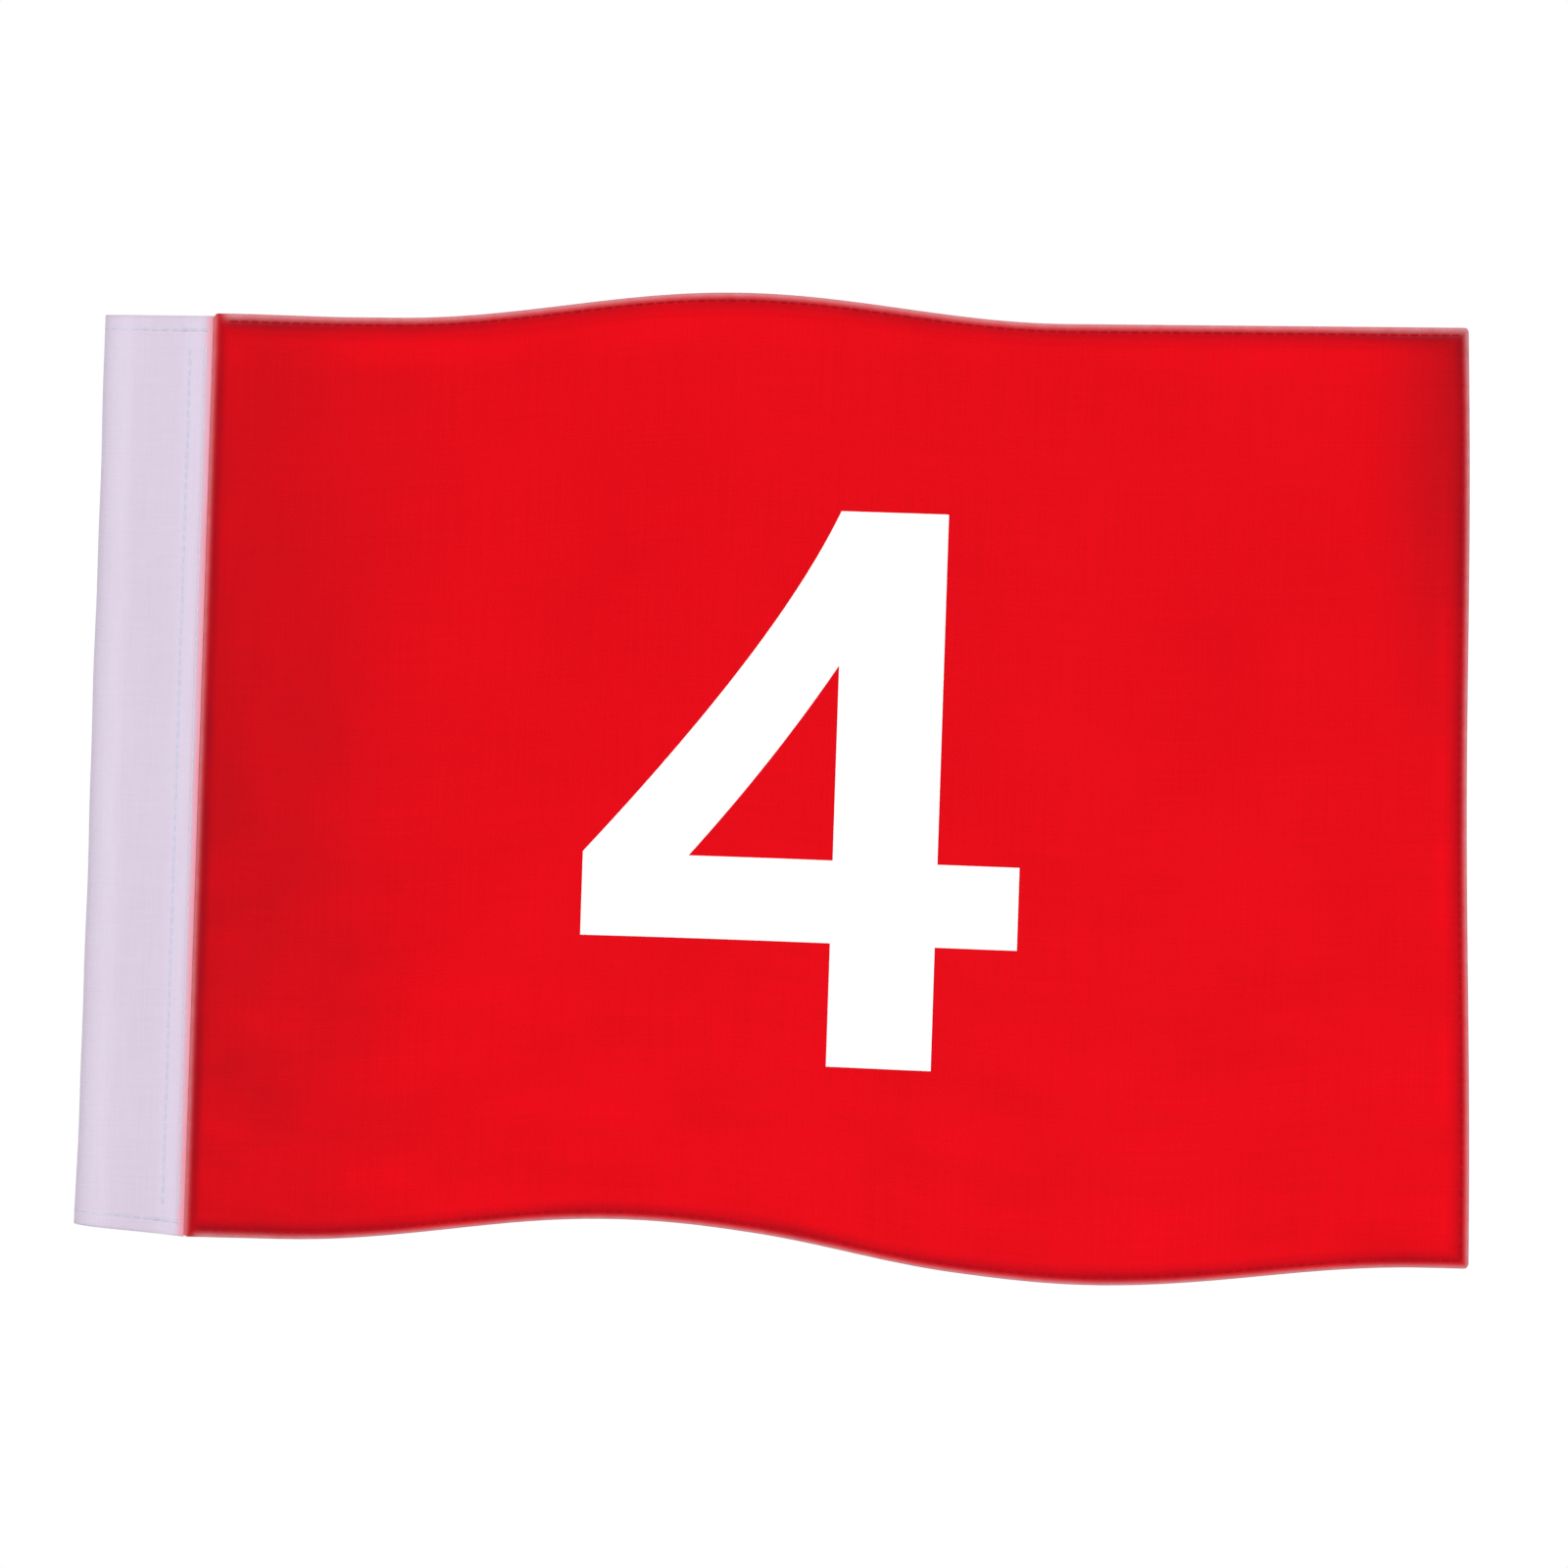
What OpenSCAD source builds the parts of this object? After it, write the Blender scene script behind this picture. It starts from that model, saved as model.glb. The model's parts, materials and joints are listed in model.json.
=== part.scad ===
// Numbered golf flag with a white sleeve and a stick tube.
// The tube stands on the Z axis, the flag flies towards +X, and its front looks towards -Y.
// All sizes are in millimetres, and z = 0 is the middle of the tube.

/* [Flying cloth] */
// Height of the flying cloth along its seam
flag_h = 356; // [354:2:400]
// Distance from the seam to the middle of the free edge
fly_len = 490; // [460:5:520]
// How much further the bottom edge runs than the top edge
fly_slant = 12; // [0:1:20]
// Rise of the top edge from the seam to the free edge
top_rise = 11.6; // [0:0.2:16]
// Rise of the bottom edge from the seam to the free edge
bottom_rise = 4; // [0:0.2:8]
// Thickness of the flying cloth
cloth_t = 0.8; // [0.6:0.1:1]
// Width of the hem on the three free edges
hem_w = 8; // [6:0.5:10]
// Thickness of the folded hem
hem_t = 1.6; // [1.4:0.1:2]
// Distance of the hem's stitching from the edge
hem_row = 3; // [2.5:0.5:4]

/* [Folds] */
// Depth of the fold that bulges to the back
back_fold = 20; // [0:1:24]
// Distance from the seam to the middle of the back fold
back_fold_at = 183; // [160:1:200]
// How far the back fold leans from the bottom edge to the top edge
fold_lean = 34; // [0:1:40]
// Depth of the fold that bulges to the front
front_fold = 11; // [0:1:20]
// Distance from the seam to the middle of the front fold
front_fold_at = 350; // [330:1:360]
// Distance over which a fold dies away on each side
fold_reach = 130; // [110:1:140]
// How far the back fold lifts the top edge
top_lift = 11.2; // [0:0.2:12]
// How far the back fold lifts the bottom edge
bottom_lift = 10; // [0:0.2:12]
// How far the front fold lowers the bottom edge
bottom_drop = 9.2; // [0:0.2:12]

/* [Numeral] */
// Height of the numeral
numeral_h = 215; // [180:1:230]
// Width of the numeral
numeral_w = 169; // [150:1:180]
// Distance from the seam to the middle of the numeral
numeral_at = 233; // [225:0.5:245]
// Height of the numeral's foot below the middle of the flag
numeral_foot = 104.3; // [90:0.1:110]
// Width of the numeral's stem
stem_w = 40.4; // [34:0.2:48]
// Length of the arm to the right of the stem
arm_len = 31.6; // [24:0.2:36]
// Thickness of the cross bar
bar_t = 32; // [26:1:38]
// Height of the cross bar's underside above the foot
bar_at = 47.7; // [40:0.1:56]
// Width of the three-sided opening
counter_w = 56; // [50:1:58]
// Height of the three-sided opening
counter_h = 75.6; // [70:0.2:78]
// Thickness of the numeral's film
film_t = 0.3; // [0.2:0.1:0.4]

/* [Sleeve] */
// Width of the sleeve from its round edge to the seam
sleeve_w = 41.5; // [38:0.5:50]
// Thickness of the sleeve cloth
sleeve_t = 0.8; // [0.6:0.1:1]
// Width of the flat part where the sleeve is sewn to the flying cloth
tail_w = 10.5; // [10:0.5:12]
// Height of the hems that are turned in at the sleeve's ends
sleeve_hem = 6; // [5:0.5:7]
// How far the round edge stops short of the seam at the top
round_edge_drop = 1; // [0:0.1:2]
// How far the round edge stops short of the seam at the bottom
round_edge_rise = 3.7; // [0:0.1:4]
// Distance of the outer stitched row from the seam
outer_row = 2.5; // [2:0.5:4]
// Distance of the inner stitched row from the seam
inner_row = 8.5; // [7:0.5:9]

/* [Tube] */
// Diameter of the stick that the tube fits
stick_d = 12.7; // [11.7:0.1:12.9]
// Play between the stick and the tube on each side
stick_play = 0.35; // [0.1:0.05:0.45]
// Wall thickness of the tube
tube_wall = 1.6; // [1.2:0.1:1.6]
// Length of the tube
tube_len = 334; // [240:2:334]

/* [Thread] */
// Width of a stitched line
thread_w = 0.8; // [0.6:0.1:1]
// Height of a stitched line above the cloth
thread_h = 0.3; // [0.2:0.1:0.4]

/* [Hidden] */
$fn = 96;

bore_r = stick_d / 2 + stick_play;
tube_r = bore_r + tube_wall;
// Running gap that lets the sleeve turn on the tube
slip = 0.06;
sleeve_r = tube_r + slip + sleeve_t;
seam_x = sleeve_w - sleeve_r;
tail_x = seam_x - tail_w;
// The sewn tail holds two layers of sleeve cloth and one thin edge of flying cloth
tail_filling = 0.5;
tail_half_t = sleeve_t + tail_filling / 2;

// The flying cloth starts in a small round bead, on the line about which it folds
bead_r = 0.5;
bead_gap = 0.1;
hinge_x = seam_x + bead_gap + bead_r;
// The hems start this far from the bead, so that the cloth folds freely
hem_start = 4;

// How far the sleeve's straight sides run into its round loop
touch_bite = 0.05;

// The numeral's slope starts this far above its bar and ends this far short of its stem
slope_foot_rise = 0.4;
slope_head_gap = 1;
// How far to the left of the stem, and below the head, the slope's curve is pulled
slope_pull_left = 24;
slope_pull_down = 52;
// How far to the left of the stem the opening's curve is pulled
counter_pull_left = 24;
// Straight pieces in each of the numeral's curves
curve_pieces = 10;

// How much sooner the sleeve's hollow closes for each further layer of cloth
layer_setback = 2.5;
// Width of the hollow's blunt tip
tip_w = 0.1;

// Gap that keeps a film or a thread just off the cloth that carries it
skin_gap = 0.05;
// How far a cutting shape runs past what it cuts
overrun = 1;
// Half of a depth or a height that is larger than the whole flag
beyond = 300;
// Distance between two neighbouring points of the cloth's curve
step = 8;
// Where the sleeve's own stitching runs, how far it stops short of the seam,
// and how far the seam's rows stop short of the sleeve's ends
sleeve_row = 5.5;
sleeve_row_stop = 1;
seam_margin = 12;

// A smooth bell, 1 in the middle and 0 from reach on
function bell(s, middle, reach = fold_reach) =
    abs(s - middle) >= reach ? 0 : (1 + cos(180 * (s - middle) / reach)) / 2;

// Depth of the cloth at a distance s from its hinge line
function depth(s) =
    back_fold * bell(s, back_fold_at) - front_fold * bell(s, front_fold_at);

function top_edge(s) =
    flag_h / 2
    + top_rise * s / fly_len
    + top_lift * bell(s, back_fold_at + fold_lean / 2);

function bottom_edge(s) =
    -flag_h / 2
    + bottom_rise * s / fly_len
    + bottom_lift * bell(s, back_fold_at - fold_lean / 2)
    - bottom_drop * bell(s, front_fold_at);

// Distances from start to end, one step apart, with the end always among them
function stations(start, end) =
    [for (i = [0 : ceil((end - start) / step)]) min(start + i * step, end)];

function reversed(list) = [for (i = [len(list) - 1 : -1 : 0]) list[i]];

// A quadratic curve from a to b, pulled towards c
function curve(a, c, b, n) =
    [for (i = [0 : n]) let (t = i / n)
        (1 - t) * (1 - t) * a + 2 * t * (1 - t) * c + t * t * b];

// Point where a line from the point [x, y] meets a circle of radius r about the origin.
// The line runs a little deeper than a true tangent, so that the two shapes overlap.
function touch_point(r, x, y) =
    let (
        bitten_r = r - touch_bite,
        a = atan2(y, x) + acos(bitten_r / norm([x, y]))
    )
    [bitten_r * cos(a), bitten_r * sin(a)];

// A sheet that follows the folds, between two distances from the cloth's middle surface
module folded_sheet(low, high) {
    along = stations(0, fly_len + fly_slant);
    near_side = [for (s = along) [hinge_x + s, depth(s) + low]];
    far_side = [for (s = along) [hinge_x + s, depth(s) + high]];
    linear_extrude(height = 2 * beyond, center = true)
        polygon(concat(near_side, reversed(far_side)));
}

// A shape drawn on the flag's face, X to the right and Z upwards, cut through its whole depth
module through_face() {
    rotate([90, 0, 0])
        linear_extrude(height = 2 * beyond, center = true)
            children();
}

// The flying cloth's outline, pulled in on its three free edges, from start on
module face_outline(inset, start) {
    top_end = fly_len - fly_slant / 2 - inset;
    bottom_end = fly_len + fly_slant / 2 - inset;
    top_side = [for (s = stations(start, top_end)) [hinge_x + s, top_edge(s) - inset]];
    bottom_side = [for (s = stations(start, bottom_end)) [hinge_x + s, bottom_edge(s) + inset]];
    polygon(concat(bottom_side, reversed(top_side)));
}

// A narrow line that follows the flying cloth's edge at the hem's stitching
module hem_line() {
    difference() {
        face_outline(hem_row - thread_w / 2, hem_start + overrun);
        face_outline(hem_row + thread_w / 2, hem_start);
    }
}

// The two threads of a hem row, one on each face of the hem
module hem_threads() {
    low = hem_t / 2 + skin_gap;
    for (side = [-1, 1])
        intersection() {
            folded_sheet(
                min(side * low, side * (low + thread_h)),
                max(side * low, side * (low + thread_h))
            );
            through_face() children();
        }
}

// The numeral 4, with its foot's left corner under the origin
module numeral() {
    stem_right = numeral_w - arm_len;
    stem_left = stem_right - stem_w;
    bar_top = bar_at + bar_t;
    slope_foot = [0, bar_top + slope_foot_rise];
    slope_head = [stem_left - slope_head_gap, numeral_h];
    slope_pull = [stem_left - slope_pull_left, numeral_h - slope_pull_down];
    counter_foot = [stem_left - counter_w, bar_top];
    counter_head = [stem_left, bar_top + counter_h];
    counter_pull = [stem_left - counter_pull_left, bar_top + counter_h / 2];
    difference() {
        union() {
            polygon(concat(
                [[0, bar_at]],
                [[stem_right, bar_at]],
                [[stem_right, numeral_h]],
                reversed(curve(slope_foot, slope_pull, slope_head, curve_pieces))
            ));
            translate([stem_left, 0])
                square([stem_w, numeral_h]);
            translate([0, bar_at])
                square([numeral_w, bar_t]);
        }
        polygon(concat(
            [[stem_left, bar_top]],
            curve(counter_head, counter_pull, counter_foot, curve_pieces)
        ));
    }
}

// The numeral's film on one face of the cloth: side is -1 for the front and 1 for the back,
// and each face shows the numeral the right way round
module number_film(side) {
    low = cloth_t / 2 + skin_gap;
    intersection() {
        folded_sheet(
            min(side * low, side * (low + film_t)),
            max(side * low, side * (low + film_t))
        );
        through_face()
            translate([hinge_x + numeral_at, -numeral_foot])
                mirror([side > 0 ? 1 : 0, 0])
                    translate([-numeral_w / 2, 0])
                        numeral();
    }
}

// A loop about the Z axis with straight sides that close in to a flat tail, from z = 0 up
module loop(r, side_end, tail_end, h) {
    touch = touch_point(r, side_end.x, side_end.y);
    cylinder(r = r, h = h);
    linear_extrude(height = h)
        polygon([
            [0, 0],
            touch,
            side_end,
            [tail_end, side_end.y],
            [tail_end, -side_end.y],
            [side_end.x, -side_end.y],
            [touch.x, -touch.y]
        ]);
}

// The outside of the sleeve, grown by a small amount on its faces
module sleeve_body(grow, tail_end, h) {
    loop(sleeve_r + grow, [tail_x, tail_half_t + grow], tail_end, h);
}

// The hollow that a given number of layers of cloth leave open
module sleeve_hollow(layers, h) {
    tip_x = tail_x - layer_setback * (layers - 1);
    loop(sleeve_r - layers * sleeve_t, [tip_x, tail_filling / 2], tip_x + tip_w, h);
}

// The sleeve as seen from the front: its round edge is a little shorter than its seam
module sleeve_face() {
    polygon([
        [-sleeve_r - overrun, round_edge_rise - flag_h / 2],
        [seam_x, -flag_h / 2],
        [seam_x, flag_h / 2],
        [-sleeve_r - overrun, flag_h / 2 - round_edge_drop]
    ]);
}

module tube_insert() {
    color("whitesmoke")
        difference() {
            cylinder(r = tube_r, h = tube_len, center = true);
            cylinder(r = bore_r, h = tube_len + 2 * overrun, center = true);
        }
}

module pole_sleeve() {
    hem_top = flag_h / 2 - round_edge_drop - sleeve_hem;
    hem_bottom = round_edge_rise + sleeve_hem - flag_h / 2;
    color([0.86, 0.81, 0.89])
        intersection() {
            difference() {
                translate([0, 0, -flag_h / 2])
                    sleeve_body(0, seam_x, flag_h);
                translate([0, 0, -flag_h / 2 - overrun])
                    sleeve_hollow(2, flag_h + 2 * overrun);
                translate([0, 0, hem_bottom])
                    sleeve_hollow(1, hem_top - hem_bottom);
            }
            through_face() sleeve_face();
        }
}

module fly_panel() {
    color("red")
        union() {
            translate([hinge_x, 0, 0])
                cylinder(r = bead_r, h = flag_h, center = true);
            intersection() {
                folded_sheet(-cloth_t / 2, cloth_t / 2);
                through_face() face_outline(0, 0);
            }
            intersection() {
                folded_sheet(-hem_t / 2, hem_t / 2);
                through_face()
                    difference() {
                        face_outline(0, hem_start);
                        face_outline(hem_w, 0);
                    }
            }
        }
}

module number_front() {
    color("white") number_film(-1);
}

module number_back() {
    color("white") number_film(1);
}

// One row of the hoist seam: a thread on each face of the sleeve's tail
module seam_row(from_seam) {
    row_h = flag_h - 2 * seam_margin;
    color("ghostwhite")
        for (side = [-1, 1])
            translate([
                seam_x - from_seam,
                side * (tail_half_t + skin_gap + thread_h / 2),
                0
            ])
                cube([thread_w, thread_h, row_h], center = true);
}

module seam_thread_outer() {
    seam_row(outer_row);
}

module seam_thread_inner() {
    seam_row(inner_row);
}

// The stitching that holds a turned-in sleeve hem, round the outside of the loop
module sleeve_hem_row(z) {
    color("ghostwhite")
        translate([0, 0, z - thread_w / 2])
            difference() {
                sleeve_body(skin_gap + thread_h, seam_x - sleeve_row_stop, thread_w);
                translate([0, 0, -overrun])
                    sleeve_body(skin_gap, seam_x, thread_w + 2 * overrun);
            }
}

module sleeve_top_hem_thread() {
    sleeve_hem_row(flag_h / 2 - sleeve_row);
}

module sleeve_bottom_hem_thread() {
    sleeve_hem_row(round_edge_rise / 2 + sleeve_row - flag_h / 2);
}

module top_hem_thread() {
    color("darkred")
        hem_threads()
            intersection() {
                hem_line();
                translate([0, flag_h / 4])
                    square([hinge_x + fly_len - fly_slant / 2 - hem_w, flag_h]);
            }
}

module bottom_hem_thread() {
    color("darkred")
        hem_threads()
            intersection() {
                hem_line();
                translate([0, -flag_h * 5 / 4])
                    square([hinge_x + fly_len + fly_slant / 2 - hem_w, flag_h]);
            }
}

module fly_hem_thread() {
    low_end = bottom_edge(fly_len) + 2 * hem_row;
    high_end = top_edge(fly_len) - 2 * hem_row;
    color("darkred")
        hem_threads()
            intersection() {
                hem_line();
                translate([hinge_x + fly_len - fly_slant - 2 * hem_w, low_end])
                    square([fly_len, high_end - low_end]);
            }
}

tube_insert();
pole_sleeve();
fly_panel();
number_front();
number_back();
seam_thread_outer();
seam_thread_inner();
sleeve_top_hem_thread();
sleeve_bottom_hem_thread();
top_hem_thread();
bottom_hem_thread();
fly_hem_thread();
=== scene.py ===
"""Looks of a numbered golf flag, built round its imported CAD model.

The tube stands on the Z axis, the flag flies towards +X, and its front looks towards -Y.
Every size is in metres.
"""

import functools
import json
import math

import bmesh
import bpy
import numpy as np
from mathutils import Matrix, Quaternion, Vector


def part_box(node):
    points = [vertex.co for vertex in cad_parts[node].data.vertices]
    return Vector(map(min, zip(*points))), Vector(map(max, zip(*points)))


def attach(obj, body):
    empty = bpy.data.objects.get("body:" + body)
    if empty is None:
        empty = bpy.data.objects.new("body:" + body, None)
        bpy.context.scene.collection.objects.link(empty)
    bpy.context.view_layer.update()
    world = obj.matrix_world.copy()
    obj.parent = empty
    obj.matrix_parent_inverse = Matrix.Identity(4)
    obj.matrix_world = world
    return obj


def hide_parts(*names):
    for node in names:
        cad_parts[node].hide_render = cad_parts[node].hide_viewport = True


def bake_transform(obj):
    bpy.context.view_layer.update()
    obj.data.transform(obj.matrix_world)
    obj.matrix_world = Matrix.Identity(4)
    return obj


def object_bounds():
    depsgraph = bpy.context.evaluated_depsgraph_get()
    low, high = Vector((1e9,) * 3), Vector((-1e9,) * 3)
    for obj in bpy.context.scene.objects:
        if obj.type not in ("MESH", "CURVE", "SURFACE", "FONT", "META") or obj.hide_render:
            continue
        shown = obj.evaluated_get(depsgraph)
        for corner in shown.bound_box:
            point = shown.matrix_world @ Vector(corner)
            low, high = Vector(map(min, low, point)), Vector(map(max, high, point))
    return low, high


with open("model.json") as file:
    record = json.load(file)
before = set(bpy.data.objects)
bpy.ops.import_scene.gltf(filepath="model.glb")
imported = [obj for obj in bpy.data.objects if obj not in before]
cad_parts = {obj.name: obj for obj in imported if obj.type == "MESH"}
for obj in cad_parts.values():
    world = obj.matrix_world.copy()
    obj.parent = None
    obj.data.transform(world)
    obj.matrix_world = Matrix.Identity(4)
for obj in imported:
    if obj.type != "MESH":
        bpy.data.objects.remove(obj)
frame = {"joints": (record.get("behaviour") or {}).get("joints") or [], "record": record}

CAD_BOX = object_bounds()
TURN = 2 * math.pi


# ---------------------------------------------------------------- sizes from the CAD model

tube_low, tube_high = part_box("tube_insert")
sleeve_low, sleeve_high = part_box("pole_sleeve")
panel_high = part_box("fly_panel")[1]
number_low, number_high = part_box("number_front")
joints = {joint["name"]: joint for joint in frame["joints"]}

BORE_R = frame["record"]["mounts"][0]["dims"]["r_mm"] / 1000
TUBE_R = tube_high.x
SLEEVE_R = -sleeve_low.x
SEAM_X = sleeve_high.x
FLAG_H = sleeve_high.z - sleeve_low.z
HINGE_X = joints["fly_fold"]["pos_m"][0]

# The free edge of the flying cloth leans, its foot further out than its head, and sways a little
FREE_EDGE_LEAN = 0.012
FREE_EDGE_SWAY = 0.0005
FLY_LEN = panel_high.x - HINGE_X - FREE_EDGE_LEAN / 2


# ---------------------------------------------------------------- sizes of the cloth

# Rise of the top and the bottom edge towards the free edge, and how far the folds shift them
TOP_RISE = 0.0116
BOTTOM_RISE = 0.004
TOP_LIFT = 0.0112
BOTTOM_LIFT = 0.010
BOTTOM_DROP = 0.0092

# The deep fold bulges to the back and leans, and the second one bulges to the front
BACK_FOLD = 0.020
BACK_FOLD_AT = 0.183
FOLD_LEAN = 0.034
FRONT_FOLD_AT = 0.350
FRONT_FOLD_FOOT = 0.0164
FRONT_FOLD_HEAD = 0.003
FOLD_REACH = 0.130

# Half thickness of the cloth where it is sewn in, where it flies, and in its hems
SEWN_HALF = 0.0002
CLOTH_HALF = 0.00028
HEM_HALF = 0.0008

# The hems: their width, their stitched row's distance from the fold, and the rounding of the fold
HEM_W = 0.008
HEM_ROW = 0.003
HEM_ROUND = 0.0009
CORNER_R = 0.0016

# The edges are tucked in inside the sleeve, and the top edge is pulled up just outside it
SEWN_TUCK = 0.0008
SEAM_LIFT = 0.001

# The groove that the hems' stitching presses into the cloth
GROOVE_DEPTH = 0.0003
GROOVE_W = 0.0009

# Small waves of the whole cloth: height, length along X, length along Z, phase
WRINKLES = [
    (0.0007, 0.21, 0.34, 0.3),
    (0.0005, -0.13, 0.22, 1.9),
    (0.00035, 0.085, -0.16, 4.0),
    (0.00025, 0.06, 0.5, 2.2),
]

# Puckers along the hems: height, length, and how far in they reach
PUCKER = 0.00022
PUCKER_LEN = 0.0115
PUCKER_REACH = 0.009

# Length and thickness of a stitch, and where the hems' rows start
STITCH_PITCH = 0.004
STITCH_R = 0.0003
ROW_START = 0.0055

# The sleeve is a strip of this thickness, folded round the tube and sewn together in a flat tail
SLEEVE_T = 0.0008
TAIL_W = 0.0105
TAIL_X = SEAM_X - TAIL_W
TAIL_MIDDLE_Y = 0.00065

# The sleeve's turned-in hems, and how far its round edge stops short of its seam at each end
SLEEVE_HEM = 0.006
SLEEVE_ROW = 0.0055
ROUND_EDGE_DROP = 0.001
ROUND_EDGE_RISE = 0.0037

# The seam's two rows, how deep they are drawn in, and how far they stop short of the sleeve's ends
OUTER_ROW = 0.0025
INNER_ROW = 0.0085
ROW_DIP = 0.00016
ROW_DIP_W = 0.0008
SEAM_MARGIN = 0.012
SEWN_GAP = HINGE_X - SEAM_X

# How loosely the sleeve hangs round the tube: its waves, its body and its foot
SLACK = 0.0002
BODY_SLACK = 0.0001
FOOT_SLACK = 0.0009

# Reach of the red cloth's tint from the seam, and of the dust from the sleeve's folded ends
TINTED_LEN = 0.0046
DUSTY_LEN = 0.002

# Thickness of the numeral's film, and the gap under it
FILM_T = 0.00015
SKIN_GAP = 0.00003


# ---------------------------------------------------------------- wear, painted shade and painted highlights of the flying cloth

# Width of the pale rim along the top, the bottom and the free edge, worn and with a painted highlight
# on the hems' rounded folds, and of the worn rim along the seam
PALE_RIMS = (0.0016, 0.0011, 0.00126)
WORN_SEAM = 0.0013

# Painted shade in the stitched grooves of the same three hems reaches this far outwards and inwards
DARK_OUTWARDS = (0.0022, 0.0040, 0.0028)
DARK_INWARDS = 0.0030
DARK_ROW = 0.62

# Near its ends a hem has more layers, so there its painted shade is darker still and its pale rim
# wider
HEM_END_LEN = 0.04
HEAD_END_LEN = 0.02
DARK_END = 0.45
PALE_RIM_END = 0.35

# The painted shadow beside the seam, cast by the sleeve's edge
SEAM_SHADE = 0.75
SEAM_SHADE_AT = 0.0026
SEAM_SHADE_W = 0.0019

# The painted shade reaches this far from the seam, and the cloth is darker this far from the free edge
# at the head
HOIST_SHADE_LEN = 0.115
CORNER_DARK = 0.85
CORNER_DARK_LEN = 0.045


# ---------------------------------------------------------------- shape helpers

def smooth(x, low, high):
    """0 below low and 1 above high, with a soft step between them."""
    t = np.clip((x - low) / (high - low), 0, 1)
    return t * t * (3 - 2 * t)


def bell(s, middle, reach=FOLD_REACH):
    """A smooth bell, 1 in the middle and 0 from reach on."""
    near = np.abs(s - middle) < reach
    return np.where(near, (1 + np.cos(math.pi * (s - middle) / reach)) / 2, 0)


def hump(x, middle, width):
    """A bell with soft tails, 1 in the middle."""
    return np.exp(-(((x - middle) / width) ** 2))


def unit(vectors):
    return vectors / np.linalg.norm(vectors, axis=-1, keepdims=True)


def level_rule(rim_low, rim_high, span, pitch):
    """(offset, share) arrays of levels between two edges: level = low + offset + share * (high - low).
    The first levels keep the distances in rim_low from the low edge, the last ones those in rim_high
    from the high edge, and the others divide what is left evenly."""
    first, last = rim_low[-1], rim_high[-1]
    count = round((span - first - last) / pitch)
    share = np.arange(1, count) / count
    offsets = [np.array(rim_low), first * (1 - share) - last * share, -np.array(rim_high[::-1])]
    shares = [np.zeros(len(rim_low)), share, np.ones(len(rim_high))]
    return np.concatenate(offsets), np.concatenate(shares)


# ---------------------------------------------------------------- mesh helpers

def new_object(name, data):
    obj = bpy.data.objects.new(name, data)
    bpy.context.scene.collection.objects.link(obj)
    return obj


def new_mesh(name, vertices, faces, uv=None, paints=None, sharp=math.radians(50)):
    """An object with smooth faces. uv has a row for each vertex, and paints an array for each name."""
    mesh = bpy.data.meshes.new(name)
    mesh.from_pydata([tuple(v) for v in vertices], [], [list(f) for f in faces])
    if uv is not None:
        corner = np.zeros(len(mesh.loops), int)
        mesh.loops.foreach_get("vertex_index", corner)
        layer = mesh.uv_layers.new(name="cloth")
        layer.data.foreach_set("uv", np.asarray(uv, np.float32)[corner].ravel())
    for paint, values in (paints or {}).items():
        attribute = mesh.attributes.new(paint, "FLOAT", "POINT")
        attribute.data.foreach_set("value", np.asarray(values, np.float32))
    mesh.polygons.foreach_set("use_smooth", np.ones(len(mesh.polygons), bool))
    mesh.set_sharp_from_angle(angle=sharp)
    return new_object(name, mesh)


def grid_faces(ids):
    """Four-sided faces between the neighbours of a grid of vertex numbers."""
    corners = [ids[:-1, :-1], ids[1:, :-1], ids[1:, 1:], ids[:-1, 1:]]
    return np.stack([c.ravel() for c in corners], axis=1)


def thick_sheet(name, outer, inner, uv, paints):
    """A closed sheet with two faces, each a grid of points, which are joined where they touch."""
    count = outer.shape[0] * outer.shape[1]
    outer_ids = np.arange(count).reshape(outer.shape[:2])
    touching = np.linalg.norm(outer - inner, axis=2) < 1e-7
    inner_ids = np.where(touching, outer_ids, outer_ids + count)
    faces = grid_faces(outer_ids).tolist() + grid_faces(inner_ids)[:, ::-1].tolist()
    rims = [
        (outer_ids[0], inner_ids[0]),
        (inner_ids[-1], outer_ids[-1]),
        (inner_ids[:, 0], outer_ids[:, 0]),
        (outer_ids[:, -1], inner_ids[:, -1]),
    ]
    for near, far in rims:
        for face in grid_faces(np.stack([near, far], axis=0)):
            corners = list(dict.fromkeys(face.tolist()))
            if len(corners) > 2:
                faces.append(corners)
    used = np.unique([i for face in faces for i in face])
    renumbered = np.zeros(2 * count, int)
    renumbered[used] = np.arange(len(used))
    faces = [[renumbered[i] for i in face] for face in faces]
    points = np.concatenate([outer.reshape(count, 3), inner.reshape(count, 3)])[used]
    grid_place = used % count
    painted = {paint: values.ravel()[grid_place] for paint, values in paints.items()}
    return new_mesh(name, points, faces, uv.reshape(count, 2)[grid_place], painted)


# ---------------------------------------------------------------- the flying cloth's surface

def tuck(s, end):
    """How far an edge is drawn in: inside the sleeve's tail, and at the flag's rounded corner."""
    round_part = np.clip(s - end + CORNER_R, 0, CORNER_R)
    corner = CORNER_R - np.sqrt(CORNER_R**2 - round_part**2)
    return SEWN_TUCK * (1 - smooth(s, -0.0012, 0.0008)) + corner


def top_edge(s):
    rise = TOP_RISE * np.maximum(s, 0) / FLY_LEN
    lift = TOP_LIFT * bell(s, BACK_FOLD_AT + FOLD_LEAN / 2)
    pulled_up = SEAM_LIFT * smooth(s, -0.0012, 0.0008) * (1 - smooth(s, 0.002, 0.055))
    return FLAG_H / 2 + rise + lift + pulled_up - tuck(s, FLY_LEN - FREE_EDGE_LEAN / 2)


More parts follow.
